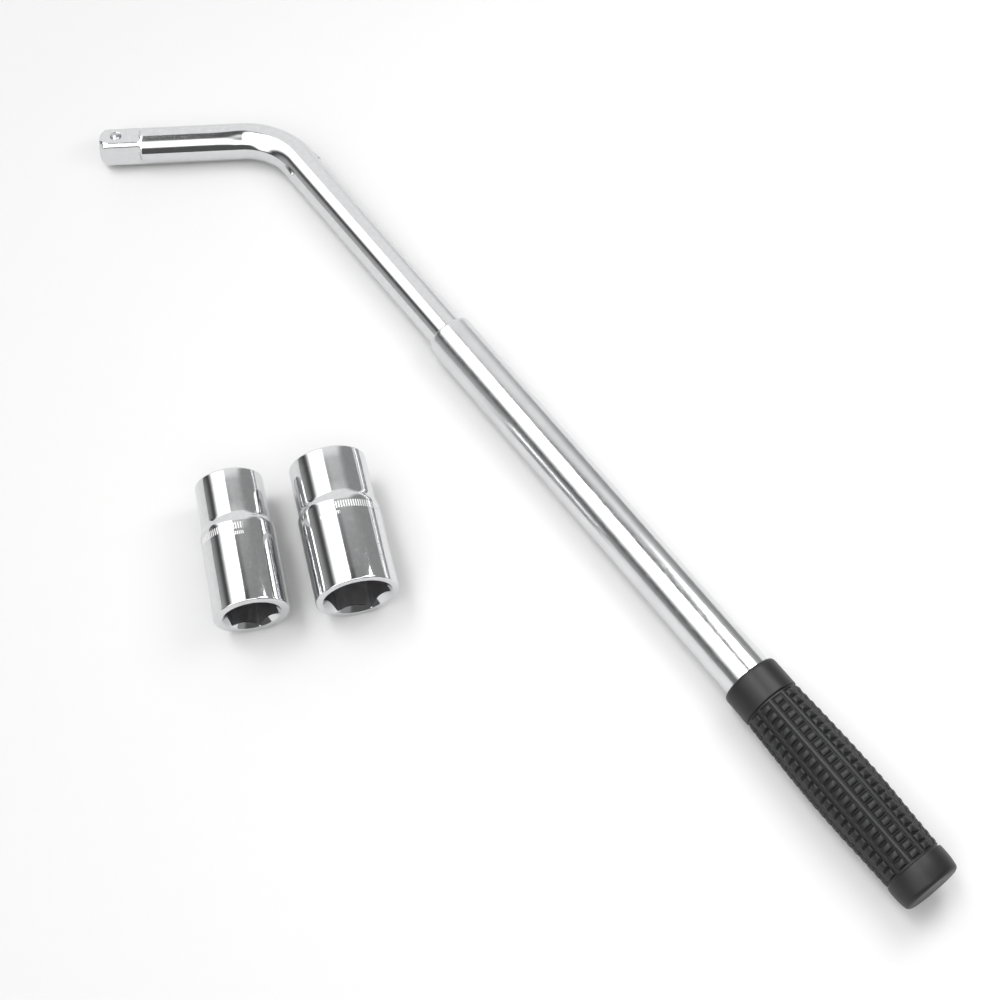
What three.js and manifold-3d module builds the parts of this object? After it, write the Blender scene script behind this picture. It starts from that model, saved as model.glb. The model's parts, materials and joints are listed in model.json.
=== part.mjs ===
// A telescopic lug wrench with its two double-ended sockets, lying on a flat surface.
// Millimetres, +Z up. +X runs along the drive arm from the square drive to the bend.

import * as THREE from 'three';
import { mergeVertices } from 'three/addons/utils/BufferGeometryUtils.js';
import Module from 'manifold-3d';

const wasm = await Module();
wasm.setup();

// ---- driving dimensions ------------------------------------------------------------

const ROUND_STEPS = 48; // facets around every turned piece
const GAP = 0.3; // clearance between pieces that touch on the real tool
const OVERLAP = 1; // how far shapes run into each other where they are joined or cut

// The bent bar. Lengths are measured from the corner where the two centre lines meet.
const BAR_R = 8;
const ARM_LENGTH = 78.8;
const BEND_DEGREES = 56.3;
const BEND_R = 30;
const BEND_STEPS = 14;
const SQUARE_SIDE = 12.7;
const SQUARE_LENGTH = 18;
const SQUARE_TURN = -13; // degrees about the arm, from flat in the plane of the bend
const SQUARE_CORNER_R = 7.95;
const TIP_CHAMFER = 2.1;

// The two stop lugs that are pressed up out of the bar.
const LUG_FACE = 23.5;
const LUG_LENGTH = 7;
const LUG_CREST = 2;
const LUG_HEIGHT = 0.55;
const LUG_WIDTH = 3;
const LUG_SINK = 1.5;
const LUG_ANGLES = [25, 155]; // degrees about the bar, from the outer side of the bend

// The detent ball in the square drive.
const BALL_R = 2.75;
const BALL_FROM_TIP = 7.3;
const BALL_PROUD = 1;
const BALL_LIP = 0.3;
const BALL_LIP_R = 2.45;
const BALL_HOLE_R = 3.05;
const BALL_HOLE_DEPTH = 10;
const SPRING_R = 2;
const SPRING_WIRE_R = 0.3;
const SPRING_TURNS = 5;
const SPRING_STEPS = 12; // for each turn
const WIRE_STEPS = 3; // for each quarter of the wire's section

// The tube and its rolled mouth.
const TUBE_R = 10.2;
const TUBE_BORE_R = 8.75;
const MOUTH_AT = 129;
const MOUTH_BORE_R = 8.2;
const MOUTH_LIP = 3;
const MOUTH_CONE = 1;
const MOUTH_ROUND = 1.7;
const TUBE_LENGTH = 291;

// What holds the bar in the tube.
const NECK_R = 6;
const SLEEVE_R = 8.6;
const SLEEVE_LENGTH = 25;
const SLEEVE_SLIT = 14; // degrees
const WASHER_R = 8.2;
const WASHER_THICKNESS = 1.5;
const RING_R = 7.4;
const RING_THICKNESS = 1.2;
const RING_GAP = 70; // degrees
const GROOVE_R = 5.1;
const NECK_TAIL = 4;
const NECK_CHAMFER = 1;

// The moulded grip.
const GRIP_AT = 323.9;
const GRIP_LENGTH = 103;
const GRIP_FRONT_R = 12.1;
const GRIP_REAR_R = 12.75;
const GRIP_END_R = 12.3;
const GRIP_BAND = 13.1;
const GRIP_REAR_BAND = 10.3;
const GRIP_GROOVE = 0.9;
const GRIP_ROUND = 2.2;
const GRIP_SWELL = [ // distance behind the grip's front edge, radius
  [14, 12.3],
  [26, 12.85],
  [41, 13.35],
  [54, 13.55],
  [66, 13.4],
  [78, 13],
  [91.8, 12.6],
];
const GRIP_BELLY = 3; // the fullest of those

// The two double-ended sockets: mouth, from the corner of the wrench, and heading.
const SOCKETS = [
  {
    name: 'socket_17_19',
    length: 59,
    bigR: 14.9,
    smallR: 13.75,
    bigFlats: 19,
    smallFlats: 17,
    mouth: [-10, -233.9],
    heading: -80.6,
    cornerAngle: -21,
  },
  {
    name: 'socket_21_23',
    length: 60,
    bigR: 16.6,
    smallR: 15.7,
    bigFlats: 23,
    smallFlats: 21,
    mouth: [31.2, -229],
    heading: -79.2,
    cornerAngle: -10,
  },
];
const SOCKET_SHOULDER = 0.61; // where the shoulder starts, as a share of the length
const SOCKET_SHOULDER_LENGTH = 3;
const SOCKET_EDGE = 0.8;
const SOCKET_WEB = 13; // the wall that holds the square hole
const SOCKET_SQUARE = 13.1;
const HEX_EASE = 0.3; // added to the nominal size across flats
const LEAD_IN_R = 0.4; // how far the mouth's cone opens beyond the hexagon's corners

// ---- helpers -----------------------------------------------------------------------

const radians = THREE.MathUtils.degToRad;

// A three.js geometry as a manifold solid: positions only, merged, no collapsed faces.
function solid(geometry) {
  const bare = geometry.clone();
  bare.deleteAttribute('normal');
  bare.deleteAttribute('uv');
  const merged = mergeVertices(bare, 1e-4);
  const index = merged.index.array;
  const faces = [];
  for (let i = 0; i < index.length; i += 3) {
    const [a, b, c] = [index[i], index[i + 1], index[i + 2]];
    if (a !== b && b !== c && c !== a) faces.push(a, b, c);
  }
  return new wasm.Manifold(new wasm.Mesh({
    numProp: 3,
    vertProperties: new Float32Array(merged.attributes.position.array),
    triVerts: new Uint32Array(faces),
  }));
}

// A manifold solid as a three.js geometry.
function geometryOf(body) {
  const mesh = body.getMesh();
  const geometry = new THREE.BufferGeometry();
  geometry.setAttribute('position', new THREE.BufferAttribute(mesh.vertProperties, 3));
  geometry.setIndex(new THREE.BufferAttribute(mesh.triVerts, 1));
  geometry.computeVertexNormals();
  return geometry;
}

// A turned piece about +X from [along, radius] points, which run from front to back outside.
function turned(points, steps = ROUND_STEPS) {
  const profile = points.map(([along, radius]) => new THREE.Vector2(radius, along));
  const geometry = new THREE.LatheGeometry(profile, steps);
  geometry.rotateZ(-Math.PI / 2);
  return geometry;
}

// A flat outline in the plane across +X, pushed along +X from `from` over `length`.
function pushed(shape, from, length) {
  const geometry = new THREE.ExtrudeGeometry(shape, {
    depth: length,
    bevelEnabled: false,
    curveSegments: ROUND_STEPS / 2,
  });
  geometry.rotateX(Math.PI / 2);
  geometry.rotateZ(Math.PI / 2);
  geometry.translate(from, 0, 0);
  return geometry;
}

function box(sizeX, sizeY, sizeZ, x, y, z) {
  return new THREE.BoxGeometry(sizeX, sizeY, sizeZ).translate(x, y, z);
}

// Points of a quarter round on a turned profile, from `start` to `end` degrees.
function quarter(centreAlong, centreRadius, r, start, end, steps = 4) {
  const points = [];
  for (let i = 0; i <= steps; i += 1) {
    const angle = radians(start + ((end - start) * i) / steps);
    points.push([centreAlong + r * Math.cos(angle), centreRadius + r * Math.sin(angle)]);
  }
  return points;
}

// A ring with a slit through it, the slit centred on the outline's own +X.
function splitRing(outerR, innerR, slitDegrees) {
  const half = radians(slitDegrees / 2);
  const shape = new THREE.Shape();
  shape.absarc(0, 0, outerR, half, 2 * Math.PI - half, false);
  shape.absarc(0, 0, innerR, 2 * Math.PI - half, half, true);
  return shape;
}

function hexagon(acrossFlats, turn) {
  const r = acrossFlats / Math.sqrt(3);
  const points = [];
  for (let i = 0; i < 6; i += 1) {
    const angle = turn + (i * Math.PI) / 3;
    points.push(new THREE.Vector2(r * Math.cos(angle), r * Math.sin(angle)));
  }
  return new THREE.Shape(points);
}

function finish(name, color, roughness, metalness = 1) {
  return new THREE.MeshStandardMaterial({ name, color, roughness, metalness });
}

const chrome = finish('chrome', 0xd9dadc, 0.08);
const satinChrome = finish('satin_chrome', 0xc9cacc, 0.28);
const steel = finish('steel', 0xa9abae, 0.35);
const nylon = finish('nylon', 0xe6e3d8, 0.55, 0);
const rubber = finish('rubber', 0x262627, 0.62, 0);

function part(name, geometry, material) {
  const mesh = new THREE.Mesh(geometry, material);
  mesh.name = name;
  return mesh;
}

// ---- the bent bar ------------------------------------------------------------------

const BEND = radians(BEND_DEGREES);
const BEND_TANGENT = BEND_R * Math.tan(BEND / 2);
const ROD_DIRECTION = new THREE.Vector3(Math.cos(BEND), -Math.sin(BEND), 0);
const TURN_TO_ROD = new THREE.Matrix4().makeRotationZ(-BEND);

const SLEEVE_AT = MOUTH_AT + MOUTH_LIP + MOUTH_CONE + GAP;
const NECK_AT = SLEEVE_AT - GAP / 2;
const WASHER_AT = SLEEVE_AT + SLEEVE_LENGTH + GAP;
const RING_AT = WASHER_AT + WASHER_THICKNESS + GAP;
const GROOVE_END = RING_AT + RING_THICKNESS + GAP / 2;
const NECK_END = GROOVE_END + NECK_TAIL;

// The centre line: straight arm, round bend, straight rod. One step for each straight.
class BarLine extends THREE.Curve {
  constructor(from, to) {
    super();
    this.from = from;
    this.to = to;
    this.steps = BEND_STEPS + 2;
  }

  getPoint(t) {
    const step = t * this.steps;
    if (step <= 1) {
      return new THREE.Vector3(THREE.MathUtils.lerp(this.from, -BEND_TANGENT, step), 0, 0);
    }
    if (step <= this.steps - 1) {
      const angle = (BEND * (step - 1)) / BEND_STEPS;
      const x = -BEND_TANGENT + BEND_R * Math.sin(angle);
      return new THREE.Vector3(x, -BEND_R * (1 - Math.cos(angle)), 0);
    }
    const along = THREE.MathUtils.lerp(BEND_TANGENT, this.to, step - this.steps + 1);
    return ROD_DIRECTION.clone().multiplyScalar(along);
  }

  getUtoTmapping(u) {
    return u;
  }
}

function circle(radius) {
  const points = [];
  for (let i = 0; i < ROUND_STEPS; i += 1) {
    const angle = (2 * Math.PI * i) / ROUND_STEPS;
    points.push(new THREE.Vector2(radius * Math.cos(angle), radius * Math.sin(angle)));
  }
  return new THREE.Shape(points);
}

function barStock() {
  const line = new BarLine(-ARM_LENGTH + SQUARE_LENGTH, NECK_AT);
  return new THREE.ExtrudeGeometry(circle(BAR_R), {
    steps: line.steps,
    extrudePath: line,
    bevelEnabled: false,
  });
}

// The square drive: a square bar with its corners turned down and its tip chamfered.
function squareDrive() {
  const length = SQUARE_LENGTH + OVERLAP;
  const side = box(length, SQUARE_SIDE, SQUARE_SIDE, 0, 0, 0);
  side.rotateX(radians(SQUARE_TURN));
  side.translate(-ARM_LENGTH + length / 2, 0, 0);
  const tip = -ARM_LENGTH;
  const round = turned([
    [tip, 0],
    [tip, SQUARE_CORNER_R - TIP_CHAMFER],
    [tip + TIP_CHAMFER, SQUARE_CORNER_R],
    [tip + length, SQUARE_CORNER_R],
    [tip + length, 0],
  ]);
  return solid(side).intersect(solid(round));
}

// The turned neck that carries the sleeve, washer and ring, with the ring's groove.
function neck() {
  const geometry = turned([
    [NECK_AT - OVERLAP, 0],
    [NECK_AT - OVERLAP, NECK_R],
    [RING_AT - GAP / 2, NECK_R],
    [RING_AT - GAP / 2, GROOVE_R],
    [GROOVE_END, GROOVE_R],
    [GROOVE_END, NECK_R],
    [NECK_END - NECK_CHAMFER, NECK_R],
    [NECK_END, NECK_R - NECK_CHAMFER],
    [NECK_END, 0],
  ]);
  return solid(geometry.applyMatrix4(TURN_TO_ROD));
}

// One stop lug: a ramp that rises from the bend and ends in a steep face.
function lug(angle) {
  const base = BAR_R - LUG_SINK;
  const ramp = new THREE.Shape();
  ramp.moveTo(LUG_FACE - LUG_LENGTH, base);
  ramp.lineTo(LUG_FACE, base);
  ramp.lineTo(LUG_FACE, BAR_R + LUG_HEIGHT);
  ramp.lineTo(LUG_FACE - LUG_CREST, BAR_R + LUG_HEIGHT);
  ramp.lineTo(LUG_FACE - LUG_LENGTH, BAR_R - LUG_SINK / 2);
  ramp.closePath();
  const geometry = new THREE.ExtrudeGeometry(ramp, { depth: LUG_WIDTH, bevelEnabled: false });
  geometry.translate(0, 0, -LUG_WIDTH / 2);
  geometry.rotateX(radians(angle));
  return solid(geometry.applyMatrix4(TURN_TO_ROD));
}

// From a frame whose +X leaves the square's upper flat to the wrench's frame.
const BALL_FRAME = new THREE.Matrix4()
  .makeTranslation(-ARM_LENGTH + BALL_FROM_TIP, 0, 0)
  .multiply(new THREE.Matrix4().makeRotationX(radians(90 + SQUARE_TURN)))
  .multiply(new THREE.Matrix4().makeRotationZ(Math.PI / 2));

const FLAT_HEIGHT = SQUARE_SIDE / 2;
const BALL_HEIGHT = FLAT_HEIGHT + BALL_PROUD - BALL_R;
const BALL_HOLE_END = FLAT_HEIGHT - BALL_HOLE_DEPTH;

function ballHole() {
  const geometry = turned([
    [BALL_HOLE_END, 0],
    [BALL_HOLE_END, BALL_HOLE_R],
    [FLAT_HEIGHT - BALL_LIP, BALL_HOLE_R],
    [FLAT_HEIGHT - BALL_LIP, BALL_LIP_R],
    [FLAT_HEIGHT + OVERLAP, BALL_LIP_R],
    [FLAT_HEIGHT + OVERLAP, 0],
  ], ROUND_STEPS / 2);
  return solid(geometry.applyMatrix4(BALL_FRAME));
}

function driveBar() {
  let bar = solid(barStock()).add(squareDrive()).add(neck());
  for (const angle of LUG_ANGLES) bar = bar.add(lug(angle));
  return part('drive_bar', geometryOf(bar.subtract(ballHole())), chrome);
}

function driveBall() {
  const geometry = new THREE.SphereGeometry(BALL_R, ROUND_STEPS / 2, ROUND_STEPS / 4);
  geometry.translate(BALL_HEIGHT, 0, 0);
  return part('drive_ball', geometryOf(solid(geometry.applyMatrix4(BALL_FRAME))), chrome);
}

class SpringLine extends THREE.Curve {
  getPoint(t) {
    const low = BALL_HOLE_END + SPRING_WIRE_R + GAP;
    const high = BALL_HEIGHT - BALL_R - SPRING_WIRE_R;
    const angle = 2 * Math.PI * SPRING_TURNS * t;
    const along = THREE.MathUtils.lerp(low, high, t);
    return new THREE.Vector3(along, SPRING_R * Math.cos(angle), SPRING_R * Math.sin(angle));
  }
}

function driveSpring() {
  const wire = new THREE.Shape();
  wire.absarc(0, 0, SPRING_WIRE_R, 0, 2 * Math.PI, false);
  const geometry = new THREE.ExtrudeGeometry(wire, {
    steps: SPRING_TURNS * SPRING_STEPS,
    extrudePath: new SpringLine(),
    curveSegments: WIRE_STEPS,
    bevelEnabled: false,
  });
  return part('drive_spring', geometryOf(solid(geometry.applyMatrix4(BALL_FRAME))), steel);
}

// ---- pieces along the rod, built with +X from the bend towards the grip --------------

function frictionSleeve() {
  const shape = splitRing(SLEEVE_R, NECK_R + GAP, SLEEVE_SLIT);
  return part('friction_sleeve', pushed(shape, SLEEVE_AT, SLEEVE_LENGTH), nylon);
}

function retainingWasher() {
  const shape = circle(WASHER_R);
  const hole = circle(NECK_R + GAP);
  shape.holes.push(hole);
  return part('retaining_washer', pushed(shape, WASHER_AT, WASHER_THICKNESS), steel);
}

function retainingRing() {
  const shape = splitRing(RING_R, GROOVE_R + GAP, RING_GAP);
  return part('retaining_ring', pushed(shape, RING_AT, RING_THICKNESS), steel);
}

function outerTube() {
  const end = MOUTH_AT + TUBE_LENGTH;
  const roll = quarter(MOUTH_AT + MOUTH_ROUND, TUBE_R - MOUTH_ROUND, MOUTH_ROUND, 180, 90);
  const geometry = turned([
    ...roll,
    [end, TUBE_R],
    [end, TUBE_BORE_R],
    [MOUTH_AT + MOUTH_LIP + MOUTH_CONE, TUBE_BORE_R],
    [MOUTH_AT + MOUTH_LIP, MOUTH_BORE_R],
    [MOUTH_AT, MOUTH_BORE_R],
    roll[0],
  ]);
  return part('outer_tube', geometryOf(solid(geometry)), satinChrome);
}

function grip() {
  const end = GRIP_AT + GRIP_LENGTH;
  const bore = TUBE_R + GAP / 2;
  const blind = MOUTH_AT + TUBE_LENGTH + GAP;
  const front = quarter(GRIP_AT + GRIP_ROUND, GRIP_FRONT_R - GRIP_ROUND, GRIP_ROUND, 180, 90);
  front.shift();
  const rear = quarter(end - GRIP_ROUND, GRIP_END_R - GRIP_ROUND, GRIP_ROUND, 90, 0);
  const geometry = turned([
    [GRIP_AT, bore],
    [GRIP_AT, GRIP_FRONT_R - GRIP_ROUND],
    ...front,
    [GRIP_AT + GRIP_BAND, GRIP_FRONT_R],
    [GRIP_AT + GRIP_BAND, GRIP_FRONT_R - GRIP_GROOVE],
    [GRIP_AT + GRIP_BAND + GRIP_GROOVE, GRIP_FRONT_R - GRIP_GROOVE],
    ...GRIP_SWELL.map(([along, radius]) => [GRIP_AT + along, radius]),
    [end - GRIP_REAR_BAND, GRIP_REAR_R - GRIP_GROOVE],
    [end - GRIP_REAR_BAND, GRIP_REAR_R],
    [end - GRIP_REAR_BAND / 2, GRIP_REAR_R],
    ...rear,
    [end, 0],
    [blind, 0],
    [blind, bore],
    [GRIP_AT, bore],
  ]);
  return part('grip', geometryOf(solid(geometry)), rubber);
}

// ---- a double-ended socket, built with +X out of its big mouth ------------------------

// A hexagonal recess that ends in a cone where it opens.
function hexRecess(acrossFlats, mouthAt, depth, turn) {
  const size = acrossFlats + HEX_EASE;
  const cornerR = size / Math.sqrt(3);
  const into = Math.sign(mouthAt) * -1;
  const hex = pushed(hexagon(size, turn), Math.min(mouthAt, mouthAt + into * depth), depth);
  const open = cornerR + LEAD_IN_R;
  const outside = mouthAt - into * OVERLAP;
  const cone = [[mouthAt + into * open, 0], [outside, open + OVERLAP], [outside, 0]];
  return solid(hex).add(solid(turned(into < 0 ? cone : cone.reverse())));
}

function socket(spec) {
  const half = spec.length / 2;
  const shoulder = half - spec.length * SOCKET_SHOULDER;
  const outside = turned([
    [-half, 0],
    [-half, spec.smallR - SOCKET_EDGE],
    [-half + SOCKET_EDGE, spec.smallR],
    [shoulder - SOCKET_SHOULDER_LENGTH, spec.smallR],
    [shoulder, spec.bigR],
    [half - SOCKET_EDGE, spec.bigR],
    [half, spec.bigR - SOCKET_EDGE],
    [half, 0],
  ]);
  const depth = (spec.length - SOCKET_WEB) / 2;
  const turn = radians(spec.cornerAngle);
  const square = box(SOCKET_WEB + 2 * OVERLAP, SOCKET_SQUARE, SOCKET_SQUARE, 0, 0, 0).rotateX(turn);
  const body = solid(outside)
    .subtract(hexRecess(spec.bigFlats, half, depth, turn))
    .subtract(hexRecess(spec.smallFlats, -half, depth, turn))
    .subtract(solid(square));
  const mesh = part(spec.name, geometryOf(body), chrome);
  const heading = radians(spec.heading);
  const back = new THREE.Vector3(Math.cos(heading), Math.sin(heading), 0).multiplyScalar(half);
  mesh.position.set(spec.mouth[0], spec.mouth[1], spec.bigR).sub(back);
  mesh.rotation.z = heading;
  return mesh;
}

// ---- the whole tool ------------------------------------------------------------------

const rod = new THREE.Group();
rod.rotation.z = -BEND;
rod.add(frictionSleeve(), retainingWasher(), retainingRing(), outerTube(), grip());

// The wrench lies on its grip's belly, the rim of the tube's mouth and the tip of its arm.
const wrench = new THREE.Group();
wrench.add(driveBar(), driveBall(), driveSpring(), rod);
const mouthRim = MOUTH_AT + MOUTH_ROUND;
const [bellyAt, bellyR] = GRIP_SWELL[GRIP_BELLY];
const rise = (bellyR - TUBE_R) / (GRIP_AT + bellyAt - mouthRim);
const cornerHeight = TUBE_R - rise * mouthRim;
const slopeX = (cornerHeight - BAR_R) / (ARM_LENGTH - TIP_CHAMFER);
const slopeY = (slopeX * ROD_DIRECTION.x - rise) / -ROD_DIRECTION.y;
const up = new THREE.Vector3(-slopeX, -slopeY, 1).normalize();
wrench.quaternion.setFromUnitVectors(new THREE.Vector3(0, 0, 1), up);
wrench.position.z = cornerHeight;

// The origin is the centre of the tool's footprint, on the surface it lies on.
const tool = new THREE.Group();
tool.add(wrench, ...SOCKETS.map(socket));
tool.updateMatrixWorld(true);
const bounds = new THREE.Box3().setFromObject(tool, true);
const centre = bounds.getCenter(new THREE.Vector3());
tool.position.set(-centre.x, -centre.y, -bounds.min.z);
tool.updateMatrixWorld(true);

export default tool;
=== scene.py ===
import json
import math

import bmesh
import bpy
import numpy as np
from mathutils import Matrix, Vector


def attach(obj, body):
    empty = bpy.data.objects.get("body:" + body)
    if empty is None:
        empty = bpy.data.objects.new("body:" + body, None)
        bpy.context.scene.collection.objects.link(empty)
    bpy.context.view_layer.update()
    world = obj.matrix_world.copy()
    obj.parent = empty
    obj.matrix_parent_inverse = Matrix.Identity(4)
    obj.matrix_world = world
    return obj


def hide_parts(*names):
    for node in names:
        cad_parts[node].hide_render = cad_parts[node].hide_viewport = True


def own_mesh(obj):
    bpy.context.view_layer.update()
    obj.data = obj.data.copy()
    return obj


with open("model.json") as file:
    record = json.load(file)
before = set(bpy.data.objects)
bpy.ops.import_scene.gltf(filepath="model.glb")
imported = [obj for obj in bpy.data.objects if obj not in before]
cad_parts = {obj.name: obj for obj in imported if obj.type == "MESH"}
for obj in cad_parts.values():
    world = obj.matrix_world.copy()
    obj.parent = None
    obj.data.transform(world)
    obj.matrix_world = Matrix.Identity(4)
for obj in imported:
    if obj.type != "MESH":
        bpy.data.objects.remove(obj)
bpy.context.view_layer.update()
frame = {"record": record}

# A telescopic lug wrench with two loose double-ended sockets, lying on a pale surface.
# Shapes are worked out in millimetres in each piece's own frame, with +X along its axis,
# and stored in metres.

record = frame["record"]
MM = 0.001
TAU = 2 * math.pi

# ---- dimensions in millimetres -------------------------------------------------------

# The bent bar, measured from the corner where its two centre lines meet.
BAR_R = 8.0
ARM_LENGTH = 78.8
BEND = math.radians(56.3)
BEND_R = 30.0
BEND_TANGENT = BEND_R * math.tan(BEND / 2)
SQUARE_HALF = 6.35
SQUARE_TURN = math.radians(-13)
SQUARE_CORNER_R = 7.95
SHOULDER_START = 17.2
SHOULDER_END = 19.0
TIP_CHAMFER = 2.1
TIP_ROUND = 0.35
LUG_START = 14.5
LUG_CREST = 21.9
LUG_FACE = 23.3
LUG_HEIGHT = 0.72
LUG_HALF_WIDTH = 2.1
LUG_ANGLES = (math.radians(25), math.radians(155))
MARK_FROM_TIP = 62.5
MARK_ANGLE = math.radians(115)
MARK_DEPTH = 0.4
NECK_AT = 133.15
NECK_R = 6.0
GROOVE_R = 5.1
GROOVE_AT = 160.25
GROOVE_END = 161.75
NECK_END = 165.75

# The sprung ball in the square drive.
BALL_R = 2.75
BALL_FROM_TIP = 7.3
BALL_PROUD = 1.0
BALL_HEIGHT = SQUARE_HALF + BALL_PROUD - BALL_R
BALL_HOLE_R = 3.05
BALL_LIP_R = 2.45
BALL_DISH_R = 3.15
BALL_HOLE_END = -3.65
SPRING_R = 2.0
WIRE_R = 0.3
SPRING_TURNS = 5
SPRING_LOW = BALL_HOLE_END + 0.6
SPRING_HIGH = BALL_HEIGHT - BALL_R - WIRE_R

# The tube and what runs in it.
TUBE_R = 10.2
TUBE_BORE_R = 8.75
MOUTH_AT = 129.0
MOUTH_BORE_R = 8.2
MOUTH_ROUND = 1.9
TUBE_END = 420.0
SLEEVE_AT = 133.3
SLEEVE_R = 8.6
SLEEVE_LENGTH = 25.0
WASHER_AT = 158.6
WASHER_R = 8.2
WASHER_THICKNESS = 1.5
RING_AT = 160.4
RING_R = 7.4
RING_THICKNESS = 1.2

# The moulded grip.
GRIP_AT = 323.9
GRIP_LENGTH = 102.88
GRIP_BORE = 10.35
GRIP_BLIND = 96.4
GRIP_FRONT_R = 12.1
GRIP_REAR_R = 12.75
GRIP_END_R = 12.0
GRIP_BAND = 13.1
GRIP_REAR_BAND = 10.3
GRIP_GROOVE = 0.9
GRIP_ROWS = 21
GRIP_COLUMNS = 12
GRIP_COLUMN_AT = math.radians(93)
GRIP_SWELL = ((14, 12.3), (26, 12.85), (41, 13.35), (54, 13.55), (66, 13.4), (78, 13.0), (92, 12.62))

SOCKETS = {
    "socket_17_19": dict(
        piece="socket_small", body="small_socket", length=59.0, big_r=14.9, small_r=13.75,
        big_flats=19, small_flats=17, corner=math.radians(-21), rims=("rim_19", "rim_17"),
        bands=((-4.5, -1.6, 1.35, 2.75, 96), (-0.6, 0.9, 1.35, 1.95, 130)),
    ),
    "socket_21_23": dict(
        piece="socket_large", body="large_socket", length=60.0, big_r=16.6, small_r=15.7,
        big_flats=23, small_flats=21, corner=math.radians(-10), rims=("rim_23", "rim_21"),
        bands=((-4.6, -1.6, 0.35, 1.95, 104), (-0.6, 0.9, 1.55, 2.05, 140)),
    ),
}
SOCKET_SHOULDER = 0.61
SOCKET_SHOULDER_LENGTH = 2.2
SOCKET_EDGE = 0.9
SOCKET_CLEAR = 0.01
SOCKET_WEB_HALF = 6.5
SOCKET_SQUARE_HALF = 6.55
HEX_EASE = 0.3
LEAD_IN_R = 0.4
RECESS_BRIGHT_ROWS = 12

# ---- where the frame puts things -------------------------------------------------------

mounts = {m["name"]: m for m in record["mounts"]}
joints = {j["name"]: j for j in record["behaviour"]["joints"]}


def axes_at(x_axis, z_hint, origin):
    """A frame with +X along x_axis and +Z as near z_hint as that allows."""
    x = Vector(x_axis).normalized()
    y = Vector(z_hint).cross(x).normalized()
    z = x.cross(y)
    place = Matrix((x, y, z)).transposed().to_4x4()
    place.translation = Vector(origin)
    return place


arm_axis = -Vector(mounts["drive_tip"]["axis"])
rod_axis = Vector(joints["telescope"]["axis"])
bend_normal = rod_axis.cross(arm_axis).normalized()
corner = Vector(mounts["drive_tip"]["pos_m"]) + arm_axis * ARM_LENGTH * MM
ARM_PLACE = axes_at(arm_axis, bend_normal, corner)
ROD_PLACE = axes_at(rod_axis, bend_normal, corner)


# ---- mesh helpers ----------------------------------------------------------------------


def smoothstep(low, high, value):
    t = np.clip((value - low) / (high - low), 0.0, 1.0)
    return t * t * (3 - 2 * t)


def soft_min(a, b, power=60.0):
    """The smaller of two radii, with the edge between them rounded a little."""
    a, b = np.maximum(a, 1e-3), np.maximum(b, 1e-3)
    small = np.minimum(a, b)
    return small * ((a / small) ** -power + (b / small) ** -power) ** (-1 / power)


def grid_faces(rows, columns, wrap_rows=False):
    """Quads of a grid whose columns run round and close."""
    faces = []
    for i in range(rows if wrap_rows else rows - 1):
        for j in range(columns):
            a, b = i * columns + j, i * columns + (j + 1) % columns
            c, d = (i + 1) % rows * columns + (j + 1) % columns, (i + 1) % rows * columns + j
            faces.append((a, b, c, d))
    return faces


def mesh_from(name, points, faces, place, sharp=32.0, second=None):
    """A closed mesh from points in millimetres: merged, faces outward, smooth but for its edges.
    second says which faces take the piece's second material."""
    mesh = bpy.data.meshes.new(name)
    mesh.from_pydata((np.asarray(points) * MM).tolist(), [], faces)
    if second is not None:
        mesh.materials.append(None)
        mesh.materials.append(None)
        mesh.polygons.foreach_set("material_index", np.array(second, dtype=np.int32))
    work = bmesh.new()
    work.from_mesh(mesh)
    bmesh.ops.remove_doubles(work, verts=work.verts, dist=2e-7)
    bmesh.ops.dissolve_degenerate(work, edges=work.edges, dist=1e-8)
    bmesh.ops.recalc_face_normals(work, faces=work.faces)
    work.to_mesh(mesh)
    work.free()
    mesh.shade_smooth()
    mesh.set_sharp_from_angle(angle=math.radians(sharp))
    piece = bpy.data.objects.new(name, mesh)
    bpy.context.scene.collection.objects.link(piece)
    piece.matrix_world = place
    bpy.context.view_layer.update()
    return piece


def turned_points(x, radius, angles):
    """Grid points about +X: x per row, radius per row or per row and column."""
    radius = np.broadcast_to(np.asarray(radius, float).reshape(len(x), -1), (len(x), len(angles)))
    along = np.broadcast_to(np.asarray(x, float)[:, None], radius.shape)
    return np.stack([along, radius * np.cos(angles), radius * np.sin(angles)], -1).reshape(-1, 3)


def full_turn(steps):
    return np.arange(steps) * TAU / steps


def turned(name, profile, place, steps=192, closed=True, sharp=32.0):
    """A turned piece from [along, radius] rows; closed if the profile is a ring of its own."""
    profile = np.asarray(profile, float)
    points = turned_points(profile[:, 0], profile[:, 1], full_turn(steps))
    return mesh_from(name, points, grid_faces(len(profile), steps, closed), place, sharp)


def part_turned(name, profile, place, slit, steps=144, sharp=32.0):
    """A turned ring with a slit of that angle through it, centred on +Y."""
    profile = np.asarray(profile, float)
    angles = np.linspace(slit / 2, TAU - slit / 2, steps)
    points = turned_points(profile[:, 0], profile[:, 1], angles)
    rows = len(profile)
    faces = []
    for i in range(rows):
        for j in range(steps - 1):
            k = (i + 1) % rows
            faces.append((i * steps + j, i * steps + j + 1, k * steps + j + 1, k * steps + j))
    faces.append(tuple(i * steps for i in range(rows)))
    faces.append(tuple(i * steps + steps - 1 for i in range(rows)))
    return mesh_from(name, points, faces, place, sharp)


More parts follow.
